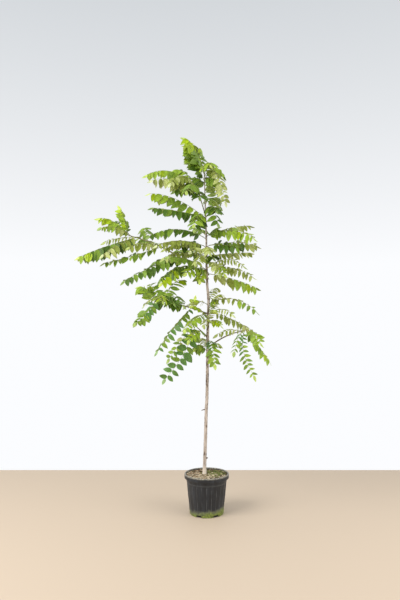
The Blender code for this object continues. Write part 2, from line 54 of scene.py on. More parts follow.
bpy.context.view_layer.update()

# %% [markdown]
# ## Camera
# A photograph that looks level keeps upright things upright. Such a camera can be tilted, or it can stay
# level with its picture shifted. The shift is chosen here, because it keeps the pot's sides as they are in the
# photograph. The distance follows from the size of the pot, and the height from the level of its rim.

# %% Camera
PHOTO_WIDTH = 400
PHOTO_HEIGHT = 600
FOCAL_PIXELS = 560
EYE_ROW = 322
EYE_COLUMN = 207.5
EYE = Vector((0.007, -4.73, 1.61))
SENSOR = 36.0

camera_data = bpy.data.cameras.new("camera")
camera_data.sensor_width = SENSOR
camera_data.lens = SENSOR * FOCAL_PIXELS / PHOTO_HEIGHT
camera_data.shift_x = (PHOTO_WIDTH / 2 - EYE_COLUMN) / PHOTO_HEIGHT
camera_data.shift_y = (EYE_ROW - PHOTO_HEIGHT / 2) / PHOTO_HEIGHT
camera = bpy.data.objects.new("camera", camera_data)
camera.location = EYE
camera.rotation_euler = (math.pi / 2, 0.0, 0.0)
bpy.context.scene.collection.objects.link(camera)
bpy.context.scene.camera = camera
print("lens", round(camera_data.lens, 1), "mm, eye height", EYE.z, "m")

# %% [markdown]
# ## Studio
# The photograph's light is soft and comes mostly from the front left. A bright world gives the even light, one
# broad lamp gives the soft modelling, and a weaker one opens the shade. The floor is plain, and it ends a
# little way behind the pot, so that the trunk stands before a bright ground.

# %% Floor, world and lamps
FLOOR_BACK = 1.36
FLOOR_SIZE = 16.0
FLOOR_COLOUR = (0.64, 0.51, 0.38, 1.0)


def new_object(name, mesh):
    thing = bpy.data.objects.new(name, mesh)
    bpy.context.scene.collection.objects.link(thing)
    return thing


def mesh_from(bm, name):
    mesh = bpy.data.meshes.new(name)
    bm.to_mesh(mesh)
    bm.free()
    return mesh


def add_node(tree, kind, inputs=None, **settings):
    """A shader node with its settings. Each input is a plain value or the socket that feeds it."""
    made = tree.nodes.new(kind)
    for name, value in settings.items():
        setattr(made, name, value)
    for name, value in (inputs or {}).items():
        if isinstance(value, bpy.types.NodeSocket):
            tree.links.new(value, made.inputs[name])
        else:
            made.inputs[name].default_value = value
    return made


def plain_material(name, colour, roughness):
    made = bpy.data.materials.new(name)
    made.use_nodes = True
    shader = made.node_tree.nodes["Principled BSDF"]
    shader.inputs["Base Color"].default_value = colour
    shader.inputs["Roughness"].default_value = roughness
    return made


bm = bmesh.new()
bmesh.ops.create_grid(bm, x_segments=1, y_segments=1, size=FLOOR_SIZE / 2)
bmesh.ops.translate(bm, verts=bm.verts[:], vec=(0.0, FLOOR_BACK - FLOOR_SIZE / 2, 0.0))
floor = new_object("floor", mesh_from(bm, "floor"))
floor.data.materials.append(plain_material("floor", FLOOR_COLOUR, 0.7))

HORIZON_COLOUR = (0.97, 0.98, 1.0, 1.0)
ZENITH_COLOUR = (0.62, 0.65, 0.68, 1.0)
world = bpy.data.worlds.new("world")
world.use_nodes = True
sky = world.node_tree
direction = add_node(sky, "ShaderNodeTexCoord").outputs["Generated"]
height = add_node(sky, "ShaderNodeSeparateXYZ", {"Vector": direction}).outputs["Z"]
upward = add_node(sky, "ShaderNodeMapRange", {"Value": height, "From Min": 0.10, "From Max": 0.55}, clamp=True)
shade = add_node(sky, "ShaderNodeMix", data_type="RGBA")
sky.links.new(upward.outputs["Result"], shade.inputs[0])
shade.inputs[6].default_value = HORIZON_COLOUR
shade.inputs[7].default_value = ZENITH_COLOUR
sky.links.new(shade.outputs[2], sky.nodes["Background"].inputs["Color"])
bpy.context.scene.world = world
bpy.context.scene.view_settings.view_transform = "Standard"


def lamp(name, place, aim, size, power):
    data = bpy.data.lights.new(name, "AREA")
    data.size = size
    data.energy = power
    thing = bpy.data.objects.new(name, data)
    thing.location = place
    thing.rotation_euler = (Vector(aim) - Vector(place)).to_track_quat("-Z", "Y").to_euler()
    bpy.context.scene.collection.objects.link(thing)


lamp("window_lamp", (-4.2, -3.0, 4.4), (0.0, 0.0, 1.6), 4.0, 300.0)
lamp("fill_lamp", (3.6, -2.0, 2.6), (0.0, 0.0, 1.2), 3.0, 80.0)
print("floor ends", FLOOR_BACK, "m behind the pot's middle")

# %% [markdown]
# ## The plant's plan
# These named sizes are the solid model's own: the trunk's sections, where each bough starts, which way it
# goes and how far, and where each leaf's tip lies from the foot of its stalk. Directions are by a compass
# laid on the floor: 0 is right, 90 away, 180 left and 270 nearer. One more word is given to each leaf here:
# its look, because young leaves are yellow-green and old ones deep green, and deep green also stands as painted
# shade for leaves inside the crown.

# %% Sections of the trunk and plan of the boughs
Section = namedtuple("Section", "height side depth radius")
TRUNK = [
    Section(0.3223, -0.019, 0.030, 0.0200),
    Section(0.336, -0.019, 0.030, 0.0170),
    Section(0.375, -0.018, 0.029, 0.0152),
    Section(0.500, -0.014, 0.027, 0.0144),
    Section(0.700, -0.008, 0.024, 0.0138),
    Section(0.880, -0.003, 0.022, 0.0133),
    Section(1.000, 0.003, 0.021, 0.0129),
    Section(1.370, 0.008, 0.018, 0.0120),
    Section(1.630, 0.011, 0.016, 0.0115),
    Section(1.800, 0.015, 0.014, 0.0110),
    Section(1.920, 0.005, 0.012, 0.0104),
    Section(2.050, 0.000, 0.010, 0.0096),
    Section(2.220, -0.002, 0.008, 0.0085),
    Section(2.345, -0.004, 0.006, 0.0074),
    Section(2.540, -0.010, 0.003, 0.0058),
    Section(2.720, -0.016, 0.000, 0.0044),
]
Bough = namedtuple("Bough", "foot compass reach rise arch root_radius tip_radius")
BOUGHS = {
    "bough_long_left": Bough(1.990, 172, 0.64, 0.355, 0.045, 0.0074, 0.0042),
    "bough_lower_left": Bough(1.678, 200, 0.32, 0.092, 0.006, 0.0062, 0.0040),
    "bough_small_left": Bough(1.470, 150, 0.10, 0.090, 0.005, 0.0050, 0.0040),
    "bough_lower_right": Bough(1.390, 335, 0.29, 0.140, 0.020, 0.0064, 0.0042),
    "bough_upper_left": Bough(2.500, 190, 0.045, 0.150, 0.005, 0.0048, 0.0040),
}

# %% Plan of the foliage
Mass = namedtuple("Mass", "limb foot leaves")
Leaf = namedtuple("Leaf", "look compass reach rise arch bow roll hang", defaults=(0.0, 0.0, 1.0))
TIP = 1.0
FLAT = 0.15
FOLIAGE = {
    "foliage_leader": Mass("trunk", TIP, [
        Leaf("crest", 190, 0.215, 0.43, 0.09, roll=-10, hang=1.8),
        Leaf("crest", 203, 0.23, 0.36, 0.09, roll=5, hang=2.0),
        Leaf("crest", 165, 0.155, 0.40, 0.10, hang=2.0), Leaf("crest", 180, 0.20, 0.38, 0.07, hang=1.8),
        Leaf("fresh", 280, 0.34, 0.10, 0.07), Leaf("bronze", 320, 0.24, -0.19, 0.17),
        Leaf("grown", 60, 0.30, -0.17, 0.12), Leaf("fresh", 10, 0.20, 0.06, 0.12),
        Leaf("deep", 205, 0.20, 0.27, 0.05, roll=-10, hang=1.8), Leaf("grown", 330, 0.11, 0.02, 0.05),
        Leaf("grown", 30, 0.16, 0.02, 0.06), Leaf("deep", 175, 0.13, 0.10, 0.03)]),
    "foliage_upper_left_tip": Mass("bough_upper_left", TIP, [
        Leaf("fresh", 145, 0.34, 0.28, 0.07), Leaf("tender", 190, 0.50, 0.15, 0.105, hang=1.8),
        Leaf("olive", 220, 0.35, 0.03, 0.11), Leaf("grown", 255, 0.42, -0.06, 0.07),
        Leaf("deep", 198, 0.27, 0.02, 0.04), Leaf("droop", 200, 0.47, 0.10, 0.07, hang=1.5),
        Leaf("deep", 270, 0.30, -0.08, 0.05)]),
    "foliage_left_1": Mass("trunk", 2.48, [
        Leaf("apart", 175, 0.53, 0.225, 0.06, hang=1.8), Leaf("deep", 200, 0.51, 0.065, 0.01, hang=1.6),
        Leaf("grown", 250, 0.30, -0.13, 0.06), Leaf("deep", 240, 0.20, -0.15, 0.06)]),
    "foliage_left_2": Mass("trunk", 2.31, [Leaf("deep", 185, 0.525, -0.005, 0.075, hang=1.4)]),
    "foliage_left_3": Mass("trunk", 2.235, [
        Leaf("olive", 210, 0.51, -0.03, 0.05), Leaf("olive", 200, 0.41, -0.05, 0.05, hang=1.4),
        Leaf("deep", 190, 0.26, -0.01, 0.03)]),
    "foliage_left_4": Mass("trunk", 2.15, [
        Leaf("grown", 140, 0.41, 0.09, 0.03), Leaf("olive", 200, 0.42, -0.04, 0.05)]),
    "foliage_left_5": Mass("trunk", 2.04, [
        Leaf("grown", 220, 0.45, 0.085, 0.04), Leaf("fresh", 225, 0.28, -0.06, 0.03),
        Leaf("sprig", 240, 0.13, -0.13, 0.03)]),
    "foliage_right_1": Mass("trunk", 2.33, [
        Leaf("olive", 15, 0.44, 0.115, 0.02, roll=12), Leaf("fresh", 340, 0.46, -0.06, 0.06),
        Leaf("grown", 330, 0.14, 0.05, 0.02)]),
    "foliage_right_2": Mass("trunk", 2.24, [Leaf("faded", 5, 0.48, 0.01, 0.03, roll=12), Leaf("deep", 350, 0.33, -0.03, 0.02)]),
    "foliage_right_3": Mass("trunk", 2.15, [Leaf("bronze", 25, 0.47, 0.07, 0.01, roll=12), Leaf("deep", 310, 0.12, -0.04, 0.02)]),
    "foliage_right_4": Mass("trunk", 2.06, [
        Leaf("wisp", 325, 0.41, -0.03, 0.07), Leaf("olive", 350, 0.435, -0.10, 0.04)]),
    "foliage_right_5": Mass("trunk", 2.00, [Leaf("loose", 20, 0.51, -0.11, 0.02, hang=1.7)]),
    "foliage_right_6": Mass("trunk", 1.755, [
        Leaf("spare", 345, 0.45, -0.09, 0.08), Leaf("wisp", 305, 0.25, 0.06, 0.04),
        Leaf("close", 330, 0.10, -0.01, 0.02)]),
    "foliage_right_7": Mass("trunk", 1.67, [
        Leaf("olive", 10, 0.49, -0.215, 0.04), Leaf("wisp", 320, 0.30, -0.03, 0.05),
        Leaf("wisp", 285, 0.22, 0.08, 0.03)]),
    "foliage_front_1": Mass("trunk", 2.54, [
        Leaf("deep", 297, 0.24, -0.06, 0.04), Leaf("deep", 305, 0.20, -0.18, 0.09)]),
    "foliage_front_2": Mass("trunk", 2.17, [
        Leaf("olive", 275, 0.42, -0.05, 0.06), Leaf("bronze", 240, 0.30, -0.02, 0.05),
        Leaf("olive", 255, 0.36, -0.12, 0.03)]),
    "foliage_front_3": Mass("trunk", 2.09, [
        Leaf("wisp", 285, 0.42, -0.14, 0.05), Leaf("sprig", 310, 0.26, -0.13, 0.05)]),
    "foliage_front_4": Mass("trunk", 1.65, [
        Leaf("close", 245, 0.46, -0.13, 0.05), Leaf("sprig", 215, 0.20, 0.10, 0.02)]),
    "foliage_front_5": Mass("trunk", 1.60, [
        Leaf("wisp", 265, 0.38, -0.04, 0.04), Leaf("sprig", 285, 0.25, 0.10, 0.04),
        Leaf("sprig", 320, 0.18, -0.05, 0.03)]),
    "foliage_front_6": Mass("trunk", 1.48, [Leaf("close", 235, 0.30, -0.06, 0.07, hang=0.6)]),
    "foliage_front_7": Mass("trunk", 1.43, [Leaf("slim", 282, 0.30, -0.21, 0.08)]),
    "foliage_back_1": Mass("trunk", 2.60, [Leaf("fresh", 75, 0.46, 0.08, 0.06)]),
    "foliage_back_2": Mass("trunk", 2.335, [Leaf("grown", 110, 0.42, 0.10, 0.04)]),
    "foliage_back_3": Mass("trunk", 2.03, [Leaf("deep", 105, 0.32, -0.08, 0.05)]),
    "foliage_back_4": Mass("trunk", 1.76, [Leaf("wisp", 75, 0.42, 0.13, 0.07)]),
    "foliage_back_5": Mass("trunk", 1.745, [
        Leaf("wisp", 120, 0.46, -0.01, 0.04)]),
    "foliage_back_6": Mass("trunk", 1.37, [Leaf("spare", 70, 0.36, 0.01, 0.04)]),
    "foliage_back_7": Mass("trunk", 1.36, [
        Leaf("wisp", 100, 0.40, 0.08, 0.05), Leaf("grown", 205, 0.15, -0.02, 0.05, hang=1.8)]),
    "foliage_long_near": Mass("bough_long_left", 0.17, [
        Leaf("spare", 150, 0.38, -0.15, 0.06), Leaf("deep", 195, 0.34, -0.15, 0.05, hang=1.4),
        Leaf("fresh", 200, 0.33, -0.17, 0.05, hang=1.4)]),
    "foliage_long_low": Mass("bough_long_left", 0.32, [
        Leaf("deep", 195, 0.56, -0.21, 0.03), Leaf("deep", 188, 0.30, -0.04, 0.03, hang=1.6)]),
    "foliage_long_back": Mass("bough_long_left", 0.82, [Leaf("grown", 102, 0.40, 0.17, 0.04)]),
    "foliage_long_middle": Mass("bough_long_left", 0.60, [
        Leaf("grown", 178, 0.57, -0.13, -0.01, roll=26, hang=0.5), Leaf("olive", 205, 0.36, -0.03, 0.04),
        Leaf("grown", 160, 0.30, 0.10, 0.02)]),
    "foliage_long_end": Mass("bough_long_left", 0.90, [
        Leaf("ripe", 190, 0.57, -0.185, 0.015, hang=1.4), Leaf("wisp", 180, 0.36, -0.04, 0.02),
        Leaf("droop", 200, 0.37, -0.18, 0.03, hang=1.5)]),
    "foliage_long_tip": Mass("bough_long_left", TIP, [
        Leaf("young", 160, 0.155, 0.275, 0.06, roll=10, hang=1.6),
        Leaf("young", 185, 0.34, 0.145, 0.06, hang=1.4),
        Leaf("deep", 135, 0.30, 0.18, 0.03), Leaf("spare", 215, 0.35, 0.03, 0.05, hang=1.6)]),
    "foliage_lower_left_middle": Mass("bough_lower_left", 0.45, [
        Leaf("fern", 215, 0.37, -0.39, 0.03, roll=28), Leaf("sprig", 20, 0.03, 0.11, 0.01)]),
    "foliage_lower_left_tip": Mass("bough_lower_left", TIP, [
        Leaf("apart", 190, 0.31, 0.11, 0.05, hang=0.8), Leaf("wisp", 160, 0.28, -0.04, 0.02, hang=0.7),
        Leaf("slim", 205, 0.35, -0.19, -0.03, roll=-25), Leaf("fresh", 265, 0.38, -0.03, 0.05),
        Leaf("fresh", 150, 0.25, 0.17, 0.03), Leaf("deep", 110, 0.30, 0.06, 0.03),
        Leaf("deep", 300, 0.25, -0.01, 0.04), Leaf("fresh", 60, 0.25, 0.19, 0.07),
        Leaf("deep", 185, 0.14, -0.03, 0.02), Leaf("deep", 280, 0.30, -0.04, 0.03),
        Leaf("deep", 340, 0.14, -0.05, 0.02)]),
    "foliage_small_left_tip": Mass("bough_small_left", TIP, [
        Leaf("spare", 172, 0.28, -0.31, 0.01, roll=-20, hang=0.5),
        Leaf("cool", 210, 0.35, -0.46, -0.01, bow=0.08, roll=-32, hang=FLAT),
        Leaf("wisp", 105, 0.40, 0.02, 0.04)]),
    "foliage_lower_right_tip": Mass("bough_lower_right", TIP, [
        Leaf("close", 325, 0.23, -0.13, 0.02), Leaf("fresh", 15, 0.29, -0.28, 0.00),
        Leaf("fine", 300, 0.26, -0.39, 0.02, bow=-0.07, roll=35, hang=FLAT),
        Leaf("fine", 255, 0.25, -0.20, 0.05), Leaf("wisp", 185, 0.23, -0.05, 0.03)]),
}
print(len(FOLIAGE), "masses with", sum(len(mass.leaves) for mass in FOLIAGE.values()), "leaves")

# %% [markdown]
# ## Lines that things grow along
# A bough and a leaf stalk are both an arch between two ends, so one function draws both. A second one finds the
# point and the direction at any share of such a line, which is where a leaflet or a shoot is set.

# %% Lines


def compass_direction(degrees):
    turn = math.radians(degrees)
    return Vector((math.cos(turn), math.sin(turn), 0.0))


def arched_line(start, end, bow, steps):
    """Points along a curve from start to end that bows out by a vector at its middle."""
    knee = (start + end) / 2 + 2 * bow
    line = []
    for step in range(steps + 1):
        share = step / steps
        line.append((1 - share) ** 2 * start + 2 * share * (1 - share) * knee + share ** 2 * end)
    return line


def place_on(line, share):
    """Point and direction at a share of a line's length."""
    lengths = [0.0]
    for near, far in zip(line, line[1:]):
        lengths.append(lengths[-1] + (far - near).length)
    wanted = share * lengths[-1]
    step = min(bisect.bisect_right(lengths, wanted), len(line) - 1)
    near, far = line[step - 1], line[step]
    part = (wanted - lengths[step - 1]) / (lengths[step] - lengths[step - 1])
    return near.lerp(far, part), (far - near).normalized()


def trunk_place(line, height):
    """Point on the trunk's middle line at a height above the ground."""
    for near, far in zip(line, line[1:]):
        if near.z <= height <= far.z:
            return near.lerp(far, (height - near.z) / (far.z - near.z))
    return line[-1].copy()


BOUGH_STEPS = 7
lines = {"trunk": [Vector((part.side, part.depth, part.height)) for part in TRUNK]}
for name, bough in BOUGHS.items():
    bough_foot = trunk_place(lines["trunk"], bough.foot)
    bough_end = bough_foot + bough.reach * compass_direction(bough.compass) + bough.rise * UP
    lines[name] = arched_line(bough_foot, bough_end, bough.arch * UP, BOUGH_STEPS)
print("limbs:", ", ".join(lines))

# %% [markdown]
# ## A limb from a rolled sheet
# A trunk or a stalk could be a curve with a round bevel, but bark needs points to push in and out. So a flat grid
# is rolled round the limb's line: one way along the grid is the way along the limb, and the other goes
# round it. The seam is merged and the two ends are filled, and then the mesh is closed.

# %% Rolled limbs


def smooth_line(line, radii, spacing):
    """Points and radii every few millimetres along a soft curve through a line's own points."""
    points = []
    widths = []
    last = len(line) - 1
    for step in range(last):
        before, near = line[max(step - 1, 0)], line[step]
        far, after = line[step + 1], line[min(step + 2, last)]
        count = max(1, round((far - near).length / spacing))
        for part in range(count):
            share = part / count
            bend_near = (far - before) / 2
            bend_far = (after - near) / 2
            square, cube = share ** 2, share ** 3
            points.append(
                (2 * cube - 3 * square + 1) * near + (cube - 2 * square + share) * bend_near
                + (3 * square - 2 * cube) * far + (cube - square) * bend_far)
            widths.append(radii[step] + (radii[step + 1] - radii[step]) * share)
    return points + [line[-1].copy()], widths + [radii[-1]]


def no_relief(point, share, turn):
    return 0.0


def rolled_limb(line, radii, sides, relief=no_relief):
    """Closed bmesh limb: a grid rolled round a line, with its surface moved out by a relief in metres."""
    bm = bmesh.new()
    rings = len(line) - 1
    bmesh.ops.create_grid(bm, x_segments=rings, y_segments=sides, size=0.5)
    across = (line[1] - line[0]).orthogonal().normalized()
    frames = []
    for step in range(rings + 1):
        ahead = (line[min(step + 1, rings)] - line[max(step - 1, 0)]).normalized()
        across = (across - across.dot(ahead) * ahead).normalized()
        frames.append((across, ahead.cross(across)))
    for vert in bm.verts:
        step = round((vert.co.x + 0.5) * rings)
        turn = 2 * math.pi * (round((vert.co.y + 0.5) * sides) % sides) / sides
        first, second = frames[step]
        out = math.cos(turn) * first + math.sin(turn) * second
        surface = line[step] + radii[step] * out
        vert.co = surface + relief(surface, step / rings, turn) * out
    bmesh.ops.remove_doubles(bm, verts=bm.verts[:], dist=MERGE)
    open_edges = [edge for edge in bm.edges if edge.is_boundary]
    bmesh.ops.holes_fill(bm, edges=open_edges, sides=0)
    bmesh.ops.recalc_face_normals(bm, faces=bm.faces[:])
    return bm


def finish_piece(thing, nodes, materials, sharp=40):
    """Shades a piece, gives it its materials, hangs it on the root empty and hides the solids it stands for."""
    for made in materials:
        thing.data.materials.append(made)
    thing.data.shade_smooth()
    thing.data.set_sharp_from_angle(angle=math.radians(sharp))
    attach(thing, "root")
    if nodes:
        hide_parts(*nodes)
    return thing


# %% [markdown]
# ## Bark
# Walnut bark of this age is thin and pale, a pinkish grey-brown with darker streaks along the stem, and it turns
# green towards the tip. Its relief is in the mesh: shallow lengthwise ridges, small raised pores, and
# a swelling with a scar every few centimetres where a leaf once stood. The colour is a stack of noises on
# the object's own coordinates, stretched along the trunk.

# %% Bark relief and finish


def srgb(red, green, blue):
    """A colour as a shader reads it, from screen values of 0 to 255."""
    channels = []
    for value in (red, green, blue):
        part = value / 255
        channels.append(part / 12.92 if part <= 0.04045 else ((part + 0.055) / 1.055) ** 2.4)
    return (*channels, 1.0)


def new_finish(name, roughness, specular=0.5):
    """A material's node tree, its shader and the object coordinates."""
    made = plain_material(name, (0.5, 0.5, 0.5, 1.0), roughness)
    tree = made.node_tree
    shader = tree.nodes["Principled BSDF"]
    shader.inputs["Specular IOR Level"].default_value = specular
    place = add_node(tree, "ShaderNodeTexCoord").outputs["Object"]
    return made, tree, shader, place


def spots(tree, place, scale, stretch=(1.0, 1.0, 1.0), detail=4.0):
    """Noise on the object's coordinates, from 0 to 1, squeezed along some axes."""
    squeezed = add_node(tree, "ShaderNodeMapping", {"Vector": place, "Scale": stretch}).outputs["Vector"]
    return add_node(tree, "ShaderNodeTexNoise", {
        "Vector": squeezed, "Scale": scale, "Detail": detail}).outputs["Fac"]


def between(tree, value, low, high):
    """A value stretched so that low is 0 and high is 1, and held there."""
    return add_node(tree, "ShaderNodeMapRange", {
        "Value": value, "From Min": low, "From Max": high}, clamp=True).outputs["Result"]


def blend_colours(tree, share, first, second):
    mixed = add_node(tree, "ShaderNodeMix", data_type="RGBA")
    for socket, value in ((mixed.inputs[0], share), (mixed.inputs[6], first), (mixed.inputs[7], second)):
        if isinstance(value, bpy.types.NodeSocket):
            tree.links.new(value, socket)
        else:
            socket.default_value = value
    return mixed.outputs[2]


def add_bump(tree, shader, height, distance, strength=1.0):
    bump = add_node(tree, "ShaderNodeBump", {"Height": height, "Distance": distance, "Strength": strength})
    tree.links.new(bump.outputs["Normal"], shader.inputs["Normal"])


BARK_PALE = srgb(200, 187, 175)
BARK_MIDDLE = srgb(158, 144, 131)
BARK_DARK = srgb(96, 80, 66)
BARK_FOOT = srgb(222, 208, 190)
BARK_GREEN = srgb(118, 118, 66)
PALE_FOOT_HEIGHTS = (0.36, 0.40)
SCARRED_HEIGHTS = (0.90, 1.15)


def sum_of(tree, first, second):
    return add_node(tree, "ShaderNodeMath", {0: first, 1: second}, operation="ADD").outputs[0]


def part_of(tree, value, share):
    return add_node(tree, "ShaderNodeMath", {0: value, 1: share}, operation="MULTIPLY").outputs[0]


def bark_finish(name, green_low, green_high):
    """Bark with a pale foot and more dark blotches above it, that turns green between two heights."""
    made, tree, shader, place = new_finish(name, 0.8, 0.3)
    height = add_node(tree, "ShaderNodeSeparateXYZ", {"Vector": place}).outputs["Z"]
    streaks = spots(tree, place, 70.0, (1.0, 1.0, 0.14))
    blotches = spots(tree, place, 52.0, (1.0, 1.0, 0.45))
    scarred = part_of(tree, between(tree, height, *SCARRED_HEIGHTS), 0.12)
    colour = blend_colours(tree, between(tree, streaks, 0.35, 0.65), BARK_MIDDLE, BARK_PALE)
    colour = blend_colours(tree, between(tree, sum_of(tree, blotches, scarred), 0.56, 0.68), colour, BARK_DARK)
    colour = blend_colours(tree, between(tree, height, *PALE_FOOT_HEIGHTS), BARK_FOOT, colour)
    green = between(tree, height, green_low, green_high)
    colour = blend_colours(tree, green, colour, BARK_GREEN)
    tree.links.new(colour, shader.inputs["Base Color"])
    add_bump(tree, shader, spots(tree, place, 260.0, (1.0, 1.0, 0.3)), 0.0006, 0.6)
    return made


Stub = namedtuple("Stub", "foot compass length steepness radii")
STUBS = {
    "trunk_stub": Stub(0.872, 190, 0.042, -0.25, (0.0050, 0.0042, 0.0034, 0.0020)),
    "trunk_bud": Stub(0.452, 345, 0.026, 0.25, (0.0070, 0.0075, 0.0060, 0.0030)),
}
SCAR_SPACING = 0.062
SCAR_HEIGHT = 0.0011
RIDGE_HEIGHT = 0.0007
LUMP_HEIGHT = 0.0010


def bark_relief(length, seed):
    """Relief of a limb of some length: ridges along it, soft lumps, and leaf scars up its sides."""
    def relief(point, share, turn):
        along = share * length
        shifted = point + Vector((seed, 0.0, 0.0))
        ridges = noise.noise(Vector((shifted.x * 330, shifted.y * 330, shifted.z * 34)))
        lumps = noise.noise(shifted * 42)
        count = round(along / SCAR_SPACING)
        side = 2.4 * count + seed
        from_scar = (along / SCAR_SPACING - count) * SCAR_SPACING / 0.006
        around = (turn - side + math.pi) % (2 * math.pi) - math.pi
        scar = math.exp(-from_scar ** 2 - (around / 0.9) ** 2)
        return RIDGE_HEIGHT * ridges + LUMP_HEIGHT * lumps + SCAR_HEIGHT * scar
    return relief


trunk_finish = bark_finish("trunk_bark", 2.45, 3.1)
trunk_line, trunk_radii = smooth_line(lines["trunk"], [part.radius for part in TRUNK], 0.004)
trunk_length = sum((far - near).length for near, far in zip(trunk_line, trunk_line[1:]))
trunk_bm = rolled_limb(trunk_line, trunk_radii, 28, bark_relief(trunk_length, 0.0))
trunk = new_object("trunk_bark", mesh_from(trunk_bm, "trunk_bark"))
finish_piece(trunk, ["trunk"], [trunk_finish])
print("trunk", round(trunk_length, 2), "m long,", len(trunk.data.polygons), "faces")
stub_finish = plain_material("trunk_stub", BARK_DARK, 0.8)
for name, stub in STUBS.items():
    start = trunk_place(lines["trunk"], stub.foot)
    end = start + stub.length * (compass_direction(stub.compass) + stub.steepness * UP)
    stub_bm = rolled_limb([start.lerp(end, share) for share in (0.0, 0.5, 0.8, 1.0)], stub.radii, 10)
    piece = new_object(name, mesh_from(stub_bm, name))
    finish_piece(piece, ["trunk"], [stub_finish])

# %% Boughs
bough_finish = bark_finish("bough_bark", 0.6, 3.0)
for number, (name, bough) in enumerate(BOUGHS.items()):
    steps = len(lines[name])
    widths = [bough.root_radius + (bough.tip_radius - bough.root_radius) * step / (steps - 1)
              for step in range(steps)]
    widths[0] = bough.root_radius * 1.25
    bough_line, bough_radii = smooth_line(lines[name], widths, 0.004)
    bough_length = sum((far - near).length for near, far in zip(bough_line, bough_line[1:]))
    bough_bm = rolled_limb(bough_line, bough_radii, 16, bark_relief(bough_length, number + 1.0))
    piece = new_object(f"{name}_bark", mesh_from(bough_bm, name))
    finish_piece(piece, [name], [bough_finish])
    print(name, round(bough_length, 2), "m")

# %% [markdown]
# ## The shape of a leaflet
# A leaflet of black walnut is 6 to 9 cm long, an egg shape drawn out to a point, folded a little along its
# midrib and bent down towards its tip. It could be a flat card with a picture of a leaf. Here it is a small
# grid cut to the outline by a formula and given a thickness, so its edge is true from every side, and its
# underside can be paler. There are well over a thousand leaflets, so each has only a few dozen faces. A handful of
# shapes is made, and every leaflet is one of them, turned and scaled.

# %% Leaflet shapes
LEAFLET_ALONG = 7
LEAFLET_ACROSS = 2
LEAFLET_WIDTH = 0.50
LEAFLET_THICKNESS = 0.010
WIDEST_POWER = 0.60
TIP_POWER = 0.90
PEAK = WIDEST_POWER / (WIDEST_POWER + TIP_POWER)


def leaflet_half_width(along):
    """Half the width of a leaflet of length 1 at a place along it."""
    shape = along ** WIDEST_POWER * (1 - along) ** TIP_POWER
    return LEAFLET_WIDTH / 2 * shape / (PEAK ** WIDEST_POWER * (1 - PEAK) ** TIP_POWER)


def leaflet_shape(name, droop, fold, wave):
    """A leaflet of length 1 along +X, its top to +Z, with its top faces in material 0, the rest in 1."""
    bm = bmesh.new()
    bmesh.ops.create_grid(bm, x_segments=LEAFLET_ALONG, y_segments=LEAFLET_ACROSS, size=0.5)
    for vert in bm.verts:
        row = round((vert.co.x + 0.5) * LEAFLET_ALONG)
        along = 0.5 - 0.5 * math.cos(math.pi * (0.06 + 0.94 * row / LEAFLET_ALONG))
        across = 2 * vert.co.y
        half = max(leaflet_half_width(along), 0.012 if row < LEAFLET_ALONG else 0.004)
        lift = fold * abs(across) * half - droop * along ** 2 + wave * across * math.sin(3 * along)
        vert.co = Vector((along, across * half, lift))
    bmesh.ops.recalc_face_normals(bm, faces=bm.faces[:])
    if sum(face.normal.z for face in bm.faces) < 0:
        bmesh.ops.reverse_faces(bm, faces=bm.faces[:])
    bmesh.ops.solidify(bm, geom=bm.faces[:], thickness=LEAFLET_THICKNESS)
    bm.normal_update()
    for face in bm.faces:
        face.material_index = 0 if face.normal.z > 0.3 else 1
    return mesh_from(bm, name)


leaflet_shapes = [
    leaflet_shape("leaflet_even", 0.10, 0.26, 0.00),
    leaflet_shape("leaflet_drooped", 0.20, 0.20, 0.03),
    leaflet_shape("leaflet_folded", 0.08, 0.45, -0.02),
    leaflet_shape("leaflet_flat", 0.03, 0.10, 0.04),
    leaflet_shape("leaflet_curled", 0.26, 0.32, -0.04),
]
print(len(leaflet_shapes), "leaflet shapes of", len(leaflet_shapes[0].polygons), "faces")

# %% [markdown]
# ## Growing the leaves
# The rule is the solid model's, written again with the real tree's numbers. A mass starts with a stem. Each
# of its leaves is an arched stalk, bare near its foot. Pairs of leaflets stand out to both sides, sweep on towards
# the tip and hang down by a seeded chance, and one leaflet ends the stalk. A leaflet that would touch
# a limb is left out. Each place found is kept as a matrix in a list for its colour.

# %% Rule for stems and stalks
GAP = 0.0003
STEM_LENGTH = 0.032
STEM_OUT = 0.8
STEM_UP = 0.6
STEM_RADIUS = 0.0036
SIDE_LEAF_SHARE = 0.9
SHOOT_SPACING = 0.016
SHOOT_TOP_SHARE = 0.88
SHOOT_LEAF_SPREAD = 0.70
STALK_RADIUS = 0.0021
STALK_TIP_RADIUS = 0.0009
STALK_SWELL = 1.7
ARCH_STEPS = 16
END_LEAFLET_LENGTH = 0.055


def mass_stem(mass):
    """Middle line of a mass's stem: on from a limb's tip, or out from the limb's middle line."""
    line = lines[mass.limb]
    if mass.foot == TIP:
        point, ahead = line[-1], (line[-1] - line[-2]).normalized()
        start = point + GAP * ahead
        return [start, start + SHOOT_SPACING * len(mass.leaves) * ahead]
    if mass.limb == "trunk":
        start = trunk_place(line, mass.foot)
    else:
        start, _ = place_on(line, mass.foot)
    mean = sum((compass_direction(leaf.compass) for leaf in mass.leaves), Vector()).normalized()
    return [start, start + STEM_LENGTH * (STEM_OUT * mean + STEM_UP * UP)]


